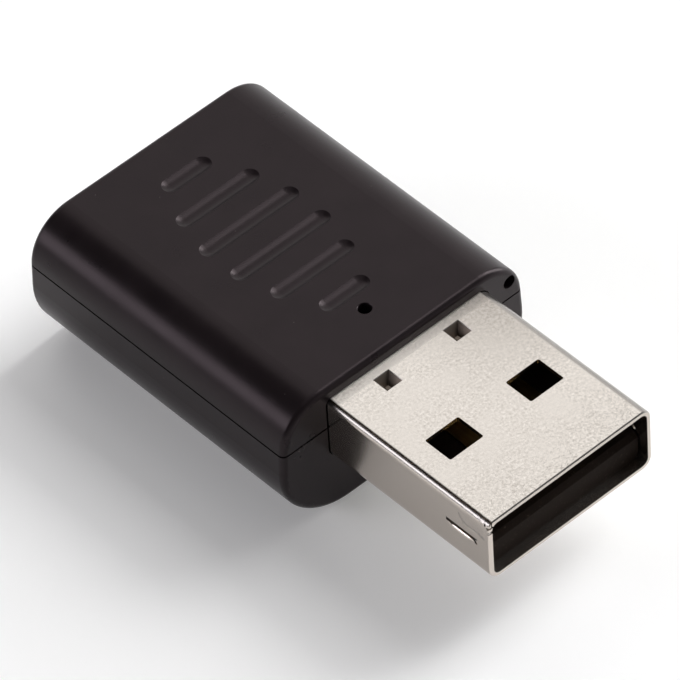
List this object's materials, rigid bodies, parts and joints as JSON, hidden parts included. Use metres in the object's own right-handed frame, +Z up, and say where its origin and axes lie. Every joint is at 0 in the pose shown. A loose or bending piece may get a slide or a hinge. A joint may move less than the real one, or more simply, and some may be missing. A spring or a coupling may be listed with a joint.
{
  "type": "usb bluetooth adapter",
  "caption": "Short USB-A wireless adapter: two-shell black plastic housing with a parting line, round-edged top with thumb grooves and a status hole, and a folded steel plug.",
  "frame": {"origin": "middle of the overall length and width, at the underside of the housing", "axes": "X across the width, +Y from the plug's mouth towards the housing's rear, so the plug points to -Y, +Z up towards the side with the status hole and the seam"},
  "size_m": [0.018, 0.0334, 0.0094],
  "materials": {
    "housing_plastic": "satin moulded ABS, black",
    "plated_steel": "nickel-plated folded sheet steel, fine satin grain",
    "insulator_plastic": "black glass-filled plastic",
    "contact_metal": "gold-plated",
    "board_laminate": "green solder mask on glass-epoxy board",
    "chip_package": "moulded epoxy",
    "can_metal": "plated can",
    "ferrite": "sintered, dark grey",
    "antenna_ceramic": "fired ceramic, off-white",
    "light_resin": "clear resin",
    "capacitor_ceramic": "fired ceramic, tan",
    "resistor_body": "glazed, black",
    "solder": "bright solder"
  },
  "bodies": {
    "root": {"upper_cover": "housing_plastic", "lower_cover": "housing_plastic", "plug_shell": "plated_steel", "plug_insulator": "insulator_plastic", "power_contact": "contact_metal", "data_minus_contact": "contact_metal", "data_plus_contact": "contact_metal", "ground_contact": "contact_metal", "circuit_board": "board_laminate", "radio_chip": "chip_package", "memory_chip": "chip_package", "voltage_regulator": "chip_package", "surge_protector": "chip_package", "crystal": "can_metal", "ferrite_bead": "ferrite", "chip_antenna": "antenna_ceramic", "status_light": "light_resin", "capacitors": "capacitor_ceramic", "resistors": "resistor_body", "contact_solder": "solder", "leg_solder": "solder"}
  },
  "joints": []
}
